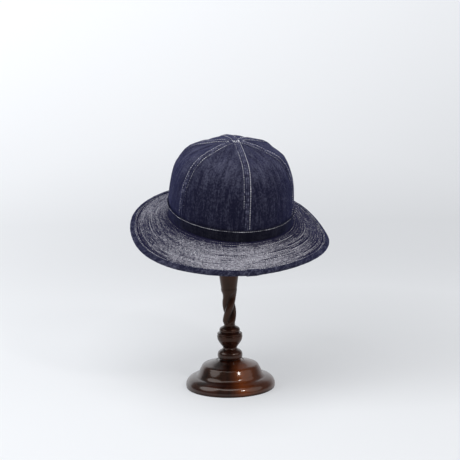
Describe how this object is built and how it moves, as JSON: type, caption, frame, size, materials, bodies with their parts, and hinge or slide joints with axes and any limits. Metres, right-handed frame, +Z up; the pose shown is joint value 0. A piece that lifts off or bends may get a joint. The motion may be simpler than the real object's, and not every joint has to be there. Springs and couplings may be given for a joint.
{
  "type": "army hat on a turned wooden stand",
  "caption": "Denim army hat with a gored crown, a band and a wide stitched brim with a bound edge, leaning forward on a small turned wooden stand with a twisted column.",
  "frame": {"origin": "centre of the stand's flat underside, which rests on a surface", "axes": "+Z up along the stand's column; -Y is the side that the hat's front seam faces; +X is the right of the picture"},
  "size_m": [0.2977, 0.298, 0.3827],
  "materials": {
    "crown_denim": "dark indigo denim, faded in vertical streaks",
    "band_denim": "dark indigo denim, hardly faded",
    "brim_denim": "faded indigo denim, quilted by rows of stitching",
    "binding_cloth": "dark indigo cloth folded over the edge",
    "varnished_wood": "dark reddish brown, glossy varnish"
  },
  "bodies": {
    "root": {"crown_gore_front_right": "crown_denim", "crown_gore_right": "crown_denim", "crown_gore_back_right": "crown_denim", "crown_gore_back_left": "crown_denim", "crown_gore_left": "crown_denim", "crown_gore_front_left": "crown_denim", "hat_band": "band_denim", "brim": "brim_denim", "brim_binding": "binding_cloth", "stand_base": "varnished_wood", "stand_column": "varnished_wood", "stand_head": "varnished_wood"}
  },
  "joints": []
}
